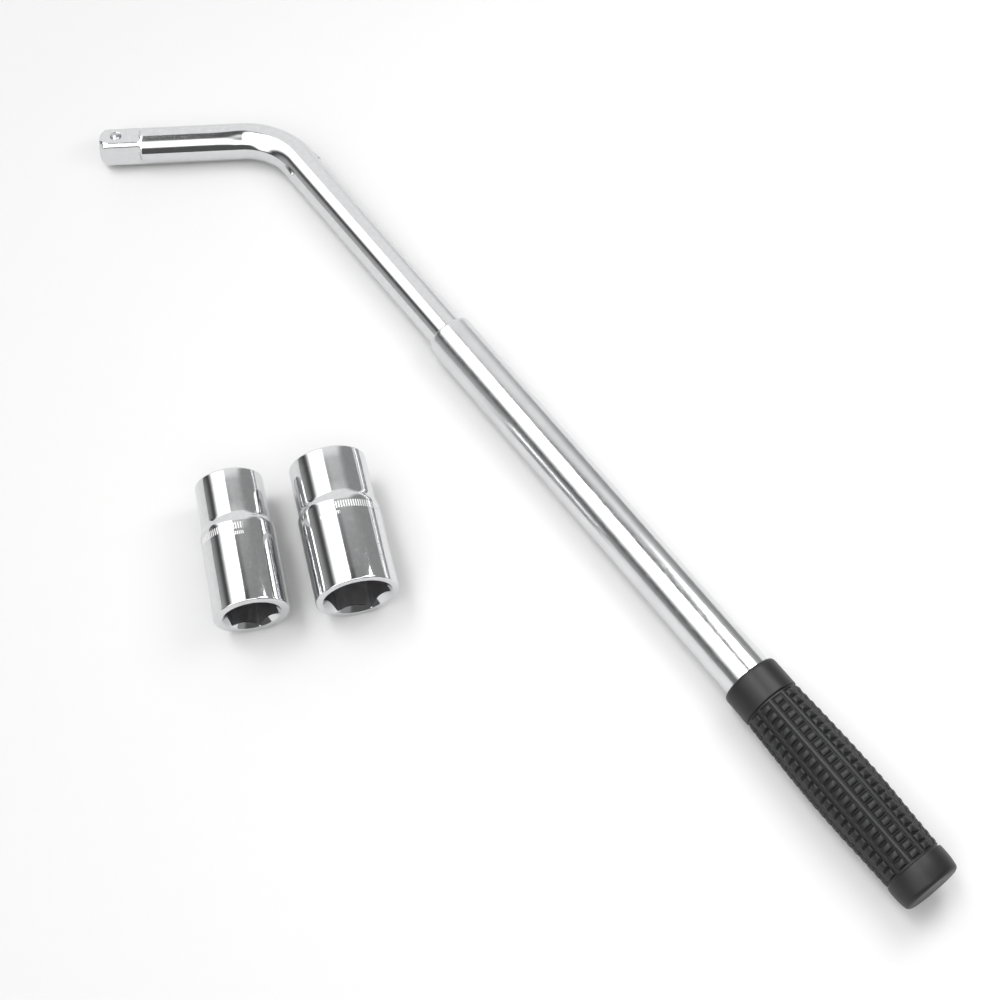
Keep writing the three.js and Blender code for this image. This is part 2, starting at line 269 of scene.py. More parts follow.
def rounded(points, radii, steps=5):
    """An outline with its corners rounded: a quadratic curve of each corner's own size."""
    points = [np.asarray(p, float) for p in points]
    out = []
    for i, (here, size) in enumerate(zip(points, radii)):
        if size <= 0:
            out.append(here)
            continue
        before, after = points[i - 1], points[(i + 1) % len(points)]
        a = here + (before - here) * min(size / np.linalg.norm(before - here), 0.48)
        b = here + (after - here) * min(size / np.linalg.norm(after - here), 0.48)
        for t in np.linspace(0, 1, steps + 1):
            out.append(a * (1 - t) ** 2 + here * 2 * t * (1 - t) + b * t * t)
    return np.array(out)


def densify(rows, longest):
    """Extra rows so that no step along the axis is longer than that."""
    out = [rows[0]]
    for row in rows[1:]:
        count = max(1, math.ceil(abs(row[0] - out[-1][0]) / longest))
        start = out[-1]
        for k in range(1, count + 1):
            out.append(start + (row - start) * k / count)
    return np.array(out)


# ---- the bent bar ----------------------------------------------------------------------

FLAT_HALF_ANGLE = math.acos(SQUARE_HALF / SQUARE_CORNER_R)
FLAT_STEPS = 28
CORNER_STEPS = 14


def bar_angles():
    """Angles about the bar, packed more closely where the square's flats meet its corners."""
    angles = []
    for quarter in range(4):
        middle = SQUARE_TURN + quarter * math.pi / 2
        flat = np.linspace(-1, 1, FLAT_STEPS, endpoint=False)
        angles.extend(middle + flat * (FLAT_HALF_ANGLE - 0.03))
        corner_from = middle + FLAT_HALF_ANGLE - 0.03
        corner_to = middle + math.pi / 2 - FLAT_HALF_ANGLE + 0.03
        angles.extend(np.linspace(corner_from, corner_to, CORNER_STEPS, endpoint=False))
    return np.array(angles)


def square_radius(angles):
    off = (angles - SQUARE_TURN + math.pi / 4) % (math.pi / 2) - math.pi / 4
    return soft_min(SQUARE_HALF / np.cos(off), np.full_like(angles, SQUARE_CORNER_R))


def bar_rows():
    """Rows of [distance from the tip, largest radius there] down the bar."""
    rows = [(0.0, 0.0), (0.0, 2.0), (0.0, 4.0)]
    tip_r = SQUARE_CORNER_R - TIP_CHAMFER
    nose = rounded(
        [(0, 4.5), (0, tip_r), (TIP_CHAMFER, SQUARE_CORNER_R), (TIP_CHAMFER + 3, SQUARE_CORNER_R)],
        [0, TIP_ROUND, 0.5, 0], 6)
    rows.extend(map(tuple, nose[:-1]))
    rows.extend((s, 99.0) for s in np.arange(3.2, SHOULDER_START, 1.0))
    rows.extend((s, 99.0) for s in np.linspace(SHOULDER_START, SHOULDER_END, 25))
    straight = ARM_LENGTH - BEND_TANGENT
    rows.extend((s, 99.0) for s in np.linspace(SHOULDER_END + 1, straight - 6, 16))
    rod_start = straight + BEND_R * BEND
    rows.extend((s, 99.0) for s in np.linspace(straight - 5, rod_start, 110))
    rows.extend((s, 99.0) for s in rod_start - BEND_TANGENT + np.linspace(BEND_TANGENT + 0.2, 26, 80))
    rows.extend((s, 99.0) for s in rod_start - BEND_TANGENT + np.linspace(27, NECK_AT - 2, 30))
    neck = rounded([
        (NECK_AT - 1.2, BAR_R), (NECK_AT, BAR_R), (NECK_AT, NECK_R), (GROOVE_AT, NECK_R),
        (GROOVE_AT, GROOVE_R), (GROOVE_END, GROOVE_R), (GROOVE_END, NECK_R),
        (NECK_END, NECK_R), (NECK_END, 0.0),
    ], [0, 0.8, 0.4, 0.2, 0.15, 0.15, 0.2, 0.9, 0], 4)
    rows.extend((rod_start - BEND_TANGENT + along, r) for along, r in neck)
    return np.array(rows)


def bar_line(s):
    """Centre, outward normal of the bend and distance along the rod for each distance from the tip."""
    straight = ARM_LENGTH - BEND_TANGENT
    turn = np.clip((s - straight) / BEND_R, 0, BEND)
    arm = np.minimum(s, straight) - ARM_LENGTH
    beyond = np.maximum(s - straight - BEND_R * BEND, 0)
    x = arm + BEND_R * np.sin(turn) + beyond * math.cos(BEND)
    y = -BEND_R * (1 - np.cos(turn)) - beyond * math.sin(BEND)
    normal = np.stack([np.sin(turn), np.cos(turn)], -1)
    return x, y, normal, beyond + BEND_TANGENT


def bar_section(s, along, angles):
    """The bar's radius at each row and angle: square, shoulder, round, bender's mark, lugs."""
    square = square_radius(angles)[None, :]
    blend = smoothstep(SHOULDER_START, SHOULDER_END, s)[:, None] ** 0.8
    radius = square + (BAR_R - square) * blend
    turn = (angles[None, :] - MARK_ANGLE + math.pi) % TAU - math.pi
    reach = ((s[:, None] - MARK_FROM_TIP) / 5.0) ** 2 + (turn * BAR_R / 2.2) ** 2
    radius = radius - MARK_DEPTH * np.exp(-reach)
    for angle in LUG_ANGLES:
        side = np.abs((angles - angle + math.pi) % TAU - math.pi) * BAR_R
        width = 1 - smoothstep(0.0, LUG_HALF_WIDTH, side)
        rise = smoothstep(LUG_START, LUG_CREST, along) * (1 - smoothstep(LUG_CREST, LUG_FACE, along))
        radius = radius + LUG_HEIGHT * rise[:, None] * width[None, :]
    return radius


def bent_bar():
    angles, rows = bar_angles(), bar_rows()
    s, limit = rows[:, 0], rows[:, 1]
    x, y, normal, along = bar_line(s)
    section = bar_section(s, along, angles)
    radius = soft_min(section, np.broadcast_to(limit[:, None], section.shape))
    radius[limit < 0.01] = 0.0
    out = radius * np.cos(angles)
    points = np.stack([
        x[:, None] + out * normal[:, :1],
        y[:, None] + out * normal[:, 1:],
        radius * np.sin(angles),
    ], -1).reshape(-1, 3)
    return mesh_from("bent_bar", points, grid_faces(len(rows), len(angles)), ARM_PLACE)


def ball_place():
    """The frame whose +X leaves the square's upper flat over the ball."""
    turn = Matrix.Rotation(SQUARE_TURN + math.pi / 2, 4, "X") @ Matrix.Rotation(math.pi / 2, 4, "Z")
    return ARM_PLACE @ Matrix.Translation((-(ARM_LENGTH - BALL_FROM_TIP) * MM, 0, 0)) @ turn


def cut_ball_hole(bar):
    """The ball's hole, with a dished ring where its lip has been staked over."""
    top = SQUARE_HALF
    profile = rounded([
        (BALL_HOLE_END, 0.0), (BALL_HOLE_END, BALL_HOLE_R), (top - 0.65, BALL_HOLE_R),
        (top - 0.45, BALL_LIP_R), (top - 0.25, BALL_LIP_R), (top + 0.04, BALL_DISH_R),
        (top + 1.5, BALL_DISH_R + 1), (top + 1.5, 0.0),
    ], [0, 0.3, 0, 0.05, 0.12, 0, 0, 0], 4)
    cutter = turned("ball_hole", profile, ball_place(), 96, False)
    cut = bar.modifiers.new("hole", "BOOLEAN")
    cut.operation, cut.solver, cut.object = "DIFFERENCE", "EXACT", cutter
    graph = bpy.context.evaluated_depsgraph_get()
    mesh = bpy.data.meshes.new_from_object(bar.evaluated_get(graph))
    bar.modifiers.clear()
    bar.data = mesh
    bpy.data.objects.remove(cutter)
    mesh.shade_smooth()
    mesh.set_sharp_from_angle(angle=math.radians(28))
    return bar


def detent_ball():
    arc = np.linspace(math.pi, 0, 49)
    profile = np.stack([BALL_HEIGHT + BALL_R * np.cos(arc), BALL_R * np.sin(arc)], -1)
    profile[[0, -1], 1] = 0
    return turned("detent_ball", profile, ball_place(), 96, False)


def detent_spring():
    """A coil spring with its end turns closed up."""
    turns = np.linspace(0, SPRING_TURNS, SPRING_TURNS * 40 + 1)
    share = turns / SPRING_TURNS
    share = share + 0.06 * np.sin(TAU * share) * -1
    along = SPRING_LOW + (SPRING_HIGH - SPRING_LOW) * share
    angle = turns * TAU
    line = np.stack([along, SPRING_R * np.cos(angle), SPRING_R * np.sin(angle)], -1)
    tangent = np.gradient(line, axis=0)
    tangent /= np.linalg.norm(tangent, axis=1, keepdims=True)
    outward = np.stack([np.zeros_like(angle), np.cos(angle), np.sin(angle)], -1)
    other = np.cross(tangent, outward)
    ring = full_turn(16)
    rim = outward[:, None] * np.cos(ring)[:, None] + other[:, None] * np.sin(ring)[:, None]
    size = np.full(len(line), WIRE_R)
    points = line[:, None] + rim * size[:, None, None]
    ends = [np.repeat(line[:1], 16, 0)[None], points, np.repeat(line[-1:], 16, 0)[None]]
    points = np.concatenate(ends).reshape(-1, 3)
    return mesh_from("detent_spring", points, grid_faces(len(line) + 2, 16), ball_place())


# ---- pieces along the rod --------------------------------------------------------------


def sleeve():
    end = SLEEVE_AT + SLEEVE_LENGTH
    outline = [(SLEEVE_AT, 6.3), (SLEEVE_AT, SLEEVE_R), (end, SLEEVE_R), (end, 6.3)]
    return part_turned("sleeve", rounded(outline, [0.2, 0.7, 0.7, 0.2]), ROD_PLACE, math.radians(14))


def washer():
    end = WASHER_AT + WASHER_THICKNESS
    outline = [(WASHER_AT, 6.3), (WASHER_AT, WASHER_R), (end, WASHER_R), (end, 6.3)]
    return turned("washer", rounded(outline, [0.15, 0.3, 0.3, 0.15]), ROD_PLACE)


def snap_ring():
    end = RING_AT + RING_THICKNESS
    outline = [(RING_AT, 5.4), (RING_AT, RING_R), (end, RING_R), (end, 5.4)]
    return part_turned("snap_ring", rounded(outline, [0.1, 0.25, 0.25, 0.1]), ROD_PLACE, math.radians(70))


def tube():
    outline = [
        (MOUTH_AT, MOUTH_BORE_R), (MOUTH_AT, TUBE_R), (TUBE_END, TUBE_R), (TUBE_END, TUBE_BORE_R),
        (MOUTH_AT + 4, TUBE_BORE_R), (MOUTH_AT + 3, MOUTH_BORE_R),
    ]
    rows = rounded(outline, [0.35, MOUTH_ROUND, 0.3, 0.3, 0.5, 0.5], 8)
    rows = densify(np.vstack([rows, rows[:1]]), 6.0)[:-1]
    return turned("tube", rows, ROD_PLACE, 224)


FLOOR_DROP = 1.05
RIB_DROP = 0.72
STRIP_DROP = 0.50
PAD_HEIGHT = 1.0
PAD_HALF_LENGTH = 1.52
PAD_HALF_WIDTH = 2.2
PATTERN_R = 13.2
PATTERN_FROM = GRIP_BAND + GRIP_GROOVE
PATTERN_TO = GRIP_LENGTH - GRIP_REAR_BAND - GRIP_GROOVE
ROW_PITCH = (PATTERN_TO - PATTERN_FROM) / GRIP_ROWS
COLUMN_HALF = math.pi / GRIP_COLUMNS
ROW_SAMPLES = (0, .09, .15, .21, .26, .31, .35, .40, .47, .57, .7, .88, 1.1, 1.4)
COLUMN_SAMPLES = (0, .3, .5, .6, .7, .8, .9, 1.0, 1.12, 1.22, 1.28, 1.34, 1.42, 1.52, 1.66, 1.85, 2.1, 2.5, 3.0)


def grip_cell(u, v):
    """Depth below the grip's envelope in one cell: u along, v round, both in mm from its middle."""
    to_rib = ROW_PITCH / 2 - np.abs(u)
    to_strip = COLUMN_HALF * PATTERN_R - np.abs(v)
    rib = 1 - smoothstep(0.08, 0.24, to_rib)
    strip = 1 - smoothstep(0.55, 0.95, to_strip)
    dome_along = np.clip(1 - np.abs(u / PAD_HALF_LENGTH) ** 2.8, 0, 1) ** 0.6
    dome_round = np.clip(1 - np.abs(v / PAD_HALF_WIDTH) ** 4.0, 0, 1) ** 0.6
    depth = FLOOR_DROP - (FLOOR_DROP - RIB_DROP) * rib * np.ones_like(v)
    depth = depth - PAD_HEIGHT * dome_along * dome_round
    return depth + (STRIP_DROP - depth) * strip


def mirrored(samples, width):
    """Samples from a cell's edge to its middle, then the same ones out to its other edge."""
    samples = np.array(samples)
    return np.concatenate([samples, [width / 2], (width - samples[1:])[::-1]])


def rubber_grip():
    """The grip: a smooth band at each end, and rows and columns of pads in pockets between."""
    cell = mirrored(ROW_SAMPLES, ROW_PITCH)
    along = np.concatenate([PATTERN_FROM + i * ROW_PITCH + cell for i in range(GRIP_ROWS)] + [[PATTERN_TO]])
    u = np.append(np.tile(cell, GRIP_ROWS), 0.0) - ROW_PITCH / 2
    side = mirrored(COLUMN_SAMPLES, 2 * COLUMN_HALF * PATTERN_R) - COLUMN_HALF * PATTERN_R
    v = np.tile(side, GRIP_COLUMNS)
    angles = GRIP_COLUMN_AT + v / PATTERN_R + np.arange(GRIP_COLUMNS).repeat(len(side)) * 2 * COLUMN_HALF
    envelope = smooth_knots(np.array(GRIP_SWELL), along)
    zone = envelope[:, None] - grip_cell(u[:, None], v[None, :])
    front = rounded([
        (GRIP_BLIND, GRIP_BORE), (0, GRIP_BORE), (0, GRIP_FRONT_R - 0.05), (GRIP_BAND, GRIP_FRONT_R),
        (GRIP_BAND + 0.2, GRIP_FRONT_R - 0.8), (PATTERN_FROM - 0.1, GRIP_FRONT_R - 0.8),
    ], [0.3, 0.4, 2.1, 0.5, 0.2, 0.15], 8)
    front = densify(np.vstack([[[GRIP_BLIND, 0.0]], front]), 3.0)
    rear_from = GRIP_LENGTH - GRIP_REAR_BAND
    rear = densify(rounded([
        (PATTERN_TO + 0.1, GRIP_REAR_R - 0.9), (rear_from - 0.2, GRIP_REAR_R - 0.9),
        (rear_from, GRIP_REAR_R - 0.1), (GRIP_LENGTH - 5.5, GRIP_REAR_R), (GRIP_LENGTH, GRIP_END_R), (GRIP_LENGTH, 0.0),
    ], [0, 0.2, 0.6, 4.5, 2.0, 0], 10), 2.0)
    rows_x = np.concatenate([front[:, 0], along, rear[:, 0]]) + GRIP_AT
    ones = np.ones((1, len(angles)))
    radius = np.vstack([front[:, 1:] * ones, zone, rear[:, 1:] * ones])
    points = turned_points(rows_x, radius, angles)
    return mesh_from("rubber_grip", points, grid_faces(len(rows_x), len(angles)), ROD_PLACE, 60)


def smooth_knots(knots, at):
    """A curve through [along, radius] knots with no corners."""
    x, r = knots[:, 0], knots[:, 1]
    slope = np.gradient(r, x)
    i = np.clip(np.searchsorted(x, at) - 1, 0, len(x) - 2)
    h = x[i + 1] - x[i]
    t = np.clip((at - x[i]) / h, 0, 1)
    return ((1 + 2 * t) * (1 - t) ** 2 * r[i] + t * (1 - t) ** 2 * h * slope[i]
            + t * t * (3 - 2 * t) * r[i + 1] + t * t * (t - 1) * h * slope[i + 1])


# ---- double-ended sockets --------------------------------------------------------------


def polygon_radius(angles, corner_at, sides, inner):
    sector = TAU / sides
    off = (angles - corner_at) % sector - sector / 2
    return inner / np.cos(off)


def socket(spec, place):
    angles = spec["corner"] + full_turn(360)
    half = spec["length"] / 2
    shoulder = half - spec["length"] * SOCKET_SHOULDER
    big, small = spec["big_r"] - SOCKET_CLEAR, spec["small_r"]
    square = polygon_radius(angles, spec["corner"] + math.pi / 4, 4, SOCKET_SQUARE_HALF)
    square = soft_min(square, np.full_like(angles, SOCKET_SQUARE_HALF * 1.36))
    outside = rounded([
        (-half, small - 2.0), (-half, small), (shoulder - SOCKET_SHOULDER_LENGTH, small),
        (shoulder, big), (half, big), (half, big - 1.6),
    ], [0, SOCKET_EDGE, 1.3, 1.3, SOCKET_EDGE, 0], 7)
    outside = densify(outside, 5.0)
    rows_x, rows_r = [], []

    def row(x, r):
        rows_x.append(np.broadcast_to(np.asarray(x, float), angles.shape))
        rows_r.append(np.broadcast_to(np.asarray(r, float), angles.shape))

    def recess(flats, mouth, into):
        """Rows from a mouth's rim, down its cone and hexagon, to its floor."""
        inner = (flats + HEX_EASE) / 2
        hexagon = polygon_radius(angles, spec["corner"], 6, inner)
        hexagon = soft_min(hexagon, np.full_like(angles, inner / math.cos(math.pi / 6) - 0.12), 90)
        opening = (flats + HEX_EASE) / math.sqrt(3) + LEAD_IN_R
        cone = opening - hexagon
        rows = [(mouth, opening + 0.35), (mouth, opening + 0.22), (mouth + into * 0.03, opening + 0.1),
                (mouth + into * 0.11, opening), (mouth + into * 0.25, opening - 0.14)]
        for share in (0.3, 0.5, 0.7, 0.88, 0.95, 1.0, 1.06, 1.15):
            depth = np.maximum(cone * share, 0.25 + 0.02 * share) + 0.11
            rows.append((mouth + into * depth, np.maximum(hexagon, opening - cone * share)))
        deep = abs(mouth) - SOCKET_WEB_HALF
        for depth in (3.0, 6.0, 9.0, 12.0, 15.0, deep - 1.5):
            rows.append((mouth + into * np.maximum(depth, cone * 1.2 + 0.3), hexagon))
        for t in np.linspace(0, 1, 6):
            a = t * math.pi / 2
            rows.append((mouth + into * (deep - 0.8 + 0.8 * math.sin(a)), hexagon - 0.8 * (1 - math.cos(a))))
        return rows

    for x, r in outside:
        row(x, r)
    inside_from = len(rows_x) + RECESS_BRIGHT_ROWS
    for x, r in recess(spec["big_flats"], half, -1):
        row(x, r)
    row(SOCKET_WEB_HALF, square + 0.5)
    row(SOCKET_WEB_HALF - 0.1, square + 0.15)
    row(SOCKET_WEB_HALF - 0.4, square)
    row(0, square)
    row(-SOCKET_WEB_HALF + 0.4, square)
    row(-SOCKET_WEB_HALF + 0.1, square + 0.15)
    row(-SOCKET_WEB_HALF, square + 0.5)
    for x, r in reversed(recess(spec["small_flats"], -half, 1)):
        row(x, r)
    inside_to = len(rows_x) - RECESS_BRIGHT_ROWS
    x, r = np.array(rows_x), np.array(rows_r)
    points = np.stack([x, r * np.cos(angles), r * np.sin(angles)], -1).reshape(-1, 3)
    faces = grid_faces(len(x), len(angles), True)
    dull = [inside_from <= i // len(angles) < inside_to - 1 for i in range(len(faces))]
    return mesh_from(spec["piece"], points, faces, place, 30, dull)


# ---- materials --------------------------------------------------------------------------


OWN_PLACE = "own_place"  # each point in its piece's own frame, in metres


class Shader:
    """A Principled material and short ways to add nodes to it."""

    def __init__(self, name, **sockets):
        self.material = bpy.data.materials.new(name)
        self.material.use_nodes = True
        self.tree = self.material.node_tree
        self.bsdf = self.tree.nodes["Principled BSDF"]
        for socket, value in sockets.items():
            self.bsdf.inputs[socket.replace("_", " ")].default_value = value
        own = self.tree.nodes.new("ShaderNodeAttribute")
        own.attribute_name = OWN_PLACE
        self.place = own.outputs["Vector"]

    def link(self, a, b):
        self.tree.links.new(a, b)

    def stretched(self, x, y, z):
        node = self.tree.nodes.new("ShaderNodeMapping")
        node.inputs["Scale"].default_value = (x, y, z)
        self.link(self.place, node.inputs["Vector"])
        return node.outputs[0]

    def noise(self, scale, detail=3.0, rough=0.5, where=None):
        node = self.tree.nodes.new("ShaderNodeTexNoise")
        node.inputs["Scale"].default_value = scale
        node.inputs["Detail"].default_value = detail
        node.inputs["Roughness"].default_value = rough
        self.link(where or self.place, node.inputs["Vector"])
        return node.outputs["Fac"]

    def ranged(self, value, low, high, to_low, to_high, smooth=False):
        node = self.tree.nodes.new("ShaderNodeMapRange")
        node.interpolation_type = "SMOOTHSTEP" if smooth else "LINEAR"
        for name, number in zip(("From Min", "From Max", "To Min", "To Max"), (low, high, to_low, to_high)):
            node.inputs[name].default_value = number
        self.link(value, node.inputs["Value"])
        return node.outputs[0]

    def parts(self):
        """The place's three parts, along the piece and across it."""
        node = self.tree.nodes.new("ShaderNodeSeparateXYZ")
        self.link(self.place, node.inputs[0])
        return node.outputs[0], node.outputs[1], node.outputs[2]

    def maths(self, operation, a, b):
        node = self.tree.nodes.new("ShaderNodeMath")
        node.operation = operation
        for value, slot in zip((a, b), node.inputs):
            if isinstance(value, (int, float)):
                slot.default_value = value
            else:
                self.link(value, slot)
        return node.outputs[0]

    def colours(self, value, *stops):
        node = self.tree.nodes.new("ShaderNodeValToRGB")
        ramp = node.color_ramp.elements
        while len(ramp) < len(stops):
            ramp.new(0.5)
        for element, (at, colour) in zip(ramp, stops):
            element.position = at
            element.color = (*colour, 1)
        self.link(value, node.inputs[0])
        return node.outputs[0]

    def mixed(self, amount, below, colour):
        node = self.tree.nodes.new("ShaderNodeMix")
        node.data_type = "RGBA"
        self.link(amount, node.inputs["Factor"])
        self.link(below, [i for i in node.inputs if i.name == "A" and i.type == "RGBA"][0])
        [i for i in node.inputs if i.name == "B" and i.type == "RGBA"][0].default_value = (*colour, 1)
        return [o for o in node.outputs if o.type == "RGBA"][0]

    def within(self, value, low, high, edge):
        """1 between low and high, 0 outside them."""
        up = self.ranged(value, low - edge, low + edge, 0.0, 1.0)
        return self.maths("MULTIPLY", up, self.ranged(value, high - edge, high + edge, 1.0, 0.0))

    def frost(self, bands):
        """Bands of short frosted strokes on a turned piece: (from, to, first angle, last angle, strokes)."""
        along, across, height = self.parts()
        angle = self.maths("ARCTAN2", height, across)
        total = None
        for start, end, first, last, strokes in bands:
            turn = self.maths("FRACT", self.maths("MULTIPLY", angle, strokes / TAU), 0.0)
            stroke = self.within(turn, 0.22, 0.78, 0.06)
            band = self.maths("MULTIPLY", self.within(along, start * MM, end * MM, 0.00008), stroke)
            band = self.maths("MULTIPLY", band, self.within(angle, first, last, 0.01))
            total = band if total is None else self.maths("MAXIMUM", total, band)
        return total

    def bump(self, height, distance, strength=1.0, below=None):
        node = self.tree.nodes.new("ShaderNodeBump")
        node.inputs["Distance"].default_value = distance
        node.inputs["Strength"].default_value = strength
        self.link(height, node.inputs["Height"])
        if below is not None:
            self.link(below, node.inputs["Normal"])
        return node.outputs[0]

    def use(self, **links):
        for socket, value in links.items():
            self.link(value, self.bsdf.inputs[socket.replace("_", " ")])
        return self.material


def chrome(name="chrome_plate", bands=()):
    """Bright chrome plate: faint waves in the metal under it, hairlines, dull spots, and any
    frosted bands, each given by where it starts and ends along the piece and round it."""
    s = Shader(name)
    waves = s.noise(45, 1.0)
    hairs = s.noise(1.0, 2.0, 0.6, s.stretched(90, 2600, 2600))
    spots = s.noise(420, 4.0, 0.6)
    rough = s.maths("ADD", s.ranged(hairs, 0.4, 0.8, 0.06, 0.13), s.ranged(spots, 0.58, 0.75, 0.0, 0.07, True))
    colour = s.colours(spots, (0.3, (0.655, 0.66, 0.67)), (0.7, (0.71, 0.715, 0.72)))
    metal = None
    if bands:
        frost = s.frost(bands)
        rough = s.maths("MAXIMUM", rough, s.maths("MULTIPLY", frost, 0.5))
        colour = s.mixed(frost, colour, (0.78, 0.78, 0.78))
        metal = s.ranged(frost, 0.0, 1.0, 1.0, 0.6)
    else:
        s.bsdf.inputs["Metallic"].default_value = 1.0
    wavy = s.bump(waves, 0.0002, 0.05)
    fine = s.bump(hairs, 0.000012, 0.12, wavy)
    if metal is not None:
        s.use(Metallic=metal)
    return s.use(Base_Color=colour, Roughness=rough, Normal=fine)


def satin_chrome():
    """Chrome over a drawn tube that was never polished: drawn grain and small pits."""
    s = Shader("satin_chrome_plate", Metallic=1.0)
    grain = s.noise(1.0, 4.0, 0.65, s.stretched(260, 1100, 1100))
    pits = s.noise(1500, 3.0, 0.7)
    blotches = s.noise(70, 3.0, 0.55)
    rough = s.maths("ADD", s.ranged(grain, 0.3, 0.7, 0.13, 0.22), s.ranged(pits, 0.6, 0.75, 0.0, 0.12, True))
    low = s.bump(grain, 0.00005, 0.14)
    fine = s.bump(s.ranged(pits, 0.55, 0.75, 1.0, 0.0, True), 0.00002, 0.25, low)
    colour = s.colours(blotches, (0.3, (0.63, 0.635, 0.645)), (0.7, (0.69, 0.695, 0.70)))
    return s.use(Base_Color=colour, Roughness=rough, Normal=fine)


def recess_steel():
    """Broached steel inside a socket, where the plate is thin and dull and the tool left its marks."""
    s = Shader("recess_steel", Metallic=1.0)
    broach = s.noise(1.0, 3.0, 0.6, s.stretched(120, 1900, 1900))
    stain = s.noise(230, 4.0, 0.6)
    rough = s.ranged(broach, 0.3, 0.7, 0.30, 0.46)
    colour = s.colours(stain, (0.3, (0.40, 0.40, 0.41)), (0.7, (0.54, 0.54, 0.55)))
    return s.use(Base_Color=colour, Roughness=rough, Normal=s.bump(broach, 0.00004, 0.25))


def plain_steel():
    """Oiled spring steel, brushed by tumbling."""
    s = Shader("spring_steel", Metallic=1.0)
    grain = s.noise(900, 5.0, 0.6)
    brushed = s.noise(1.0, 3.0, 0.6, s.stretched(3000, 500, 500))
    rough = s.ranged(grain, 0.3, 0.7, 0.22, 0.42)
    colour = s.colours(grain, (0.3, (0.40, 0.41, 0.43)), (0.75, (0.58, 0.59, 0.61)))
    return s.use(Base_Color=colour, Roughness=rough, Normal=s.bump(brushed, 0.00003, 0.3))


def nylon():
    """Natural nylon with a moulded skin and a film of grease."""
    s = Shader("natural_nylon", Subsurface_Weight=0.15, Subsurface_Scale=0.001)
    cloud = s.noise(160, 3.0)
    skin = s.noise(2600, 3.0, 0.6)
    colour = s.colours(cloud, (0.3, (0.66, 0.63, 0.54)), (0.7, (0.80, 0.78, 0.70)))
    return s.use(Base_Color=colour, Roughness=s.ranged(skin, 0.3, 0.7, 0.38, 0.58), Normal=s.bump(skin, 0.00003, 0.3))


def rubber():
    """Matte black moulded rubber with a fine skin, bloom in patches and a little dust."""
    s = Shader("black_rubber", IOR=1.5, Specular_IOR_Level=0.36)
    skin = s.noise(3200, 4.0, 0.65)
    soft = s.noise(420, 3.0, 0.5)
    bloom = s.noise(60, 3.0, 0.6)
    rough = s.maths("ADD", s.ranged(bloom, 0.3, 0.7, 0.36, 0.44), s.ranged(skin, 0.3, 0.7, 0.0, 0.08))
    colour = s.colours(bloom, (0.25, (0.007, 0.007, 0.0075)), (0.8, (0.012, 0.012, 0.0125)))
    low = s.bump(soft, 0.00006, 0.10)
    return s.use(Base_Color=colour, Roughness=rough, Normal=s.bump(skin, 0.00003, 0.30, low))


FLOOR_SHADE = 0.62


def pale_floor():
    s = Shader("pale_floor", Roughness=0.9, Specular_IOR_Level=0.1)
    s.place = s.tree.nodes.new("ShaderNodeTexCoord").outputs["Object"]
    paper = s.noise(900, 3.0, 0.6)
    cloud = s.noise(3.0, 2.0)
    colour = s.colours(cloud, (0.3, (FLOOR_SHADE,) * 3), (0.7, (FLOOR_SHADE + 0.01,) * 3))
    return s.use(Base_Color=colour, Normal=s.bump(paper, 0.00004, 0.05))


# ---- building ---------------------------------------------------------------------------

CHROME, SATIN, STEEL, NYLON, RUBBER = chrome(), satin_chrome(), plain_steel(), nylon(), rubber()
RECESS = recess_steel()


def place_piece(piece, body, node, slot, *materials):
    """Moves a piece's mesh into the row frame, keeps its own frame as an attribute, gives it its materials, attaches it
    to its body and hides the part it stands in for.
    """
    mesh = piece.data
    own = np.empty(len(mesh.vertices) * 3, np.float32)
    mesh.vertices.foreach_get("co", own)
    mesh.attributes.new(OWN_PLACE, "FLOAT_VECTOR", "POINT").data.foreach_set("vector", own)
    mesh.transform(piece.matrix_world)
    piece.matrix_world = Matrix.Identity(4)
    which = np.empty(len(mesh.polygons), np.int32)
    mesh.polygons.foreach_get("material_index", which)
    mesh.materials.clear()
    for material in materials:
        mesh.materials.append(material)
    mesh.polygons.foreach_set("material_index", which)
    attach(piece, body)
    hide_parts(node)


place_piece(cut_ball_hole(bent_bar()), "bar", "drive_bar", "chrome", CHROME)
place_piece(detent_ball(), "ball", "drive_ball", "chrome", STEEL)
spring = detent_spring()
place_piece(spring, "bar", "drive_spring", "steel", STEEL)
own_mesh(spring)
place_piece(sleeve(), "runner", "friction_sleeve", "nylon", NYLON)
place_piece(washer(), "bar", "retaining_washer", "steel", STEEL)
place_piece(snap_ring(), "bar", "retaining_ring", "steel", STEEL)
place_piece(tube(), "handle", "outer_tube", "satin_chrome", SATIN)
place_piece(rubber_grip(), "handle", "grip", "rubber", RUBBER)

for node, spec in SOCKETS.items():
    front, back = (mounts[rim] for rim in spec["rims"])
    centre = (Vector(front["pos_m"]) + Vector(back["pos_m"])) / 2
    centre.z = spec["big_r"] * MM
    place = axes_at(front["axis"], (0, 0, 1), centre)
    plate = chrome(spec["piece"] + "_plate", spec["bands"])
    place_piece(socket(spec, place), spec["body"], node, "chrome", plate, RECESS)

# ---- floor, light and camera --------------------------------------------------------------


def floor():
    """A wide plain surface under everything."""
    reach, steps = 6.0, 8
    line = np.linspace(-reach, reach, steps + 1)
    points = [(x, y, -0.00015) for x in line for y in line]
    faces = [(i * (steps + 1) + j, (i + 1) * (steps + 1) + j, (i + 1) * (steps + 1) + j + 1, i * (steps + 1) + j + 1)
             for i in range(steps) for j in range(steps)]
    mesh = bpy.data.meshes.new("floor")
    mesh.from_pydata(points, [], faces)
    mesh.materials.append(pale_floor())
    piece = bpy.data.objects.new("floor", mesh)
    bpy.context.scene.collection.objects.link(piece)


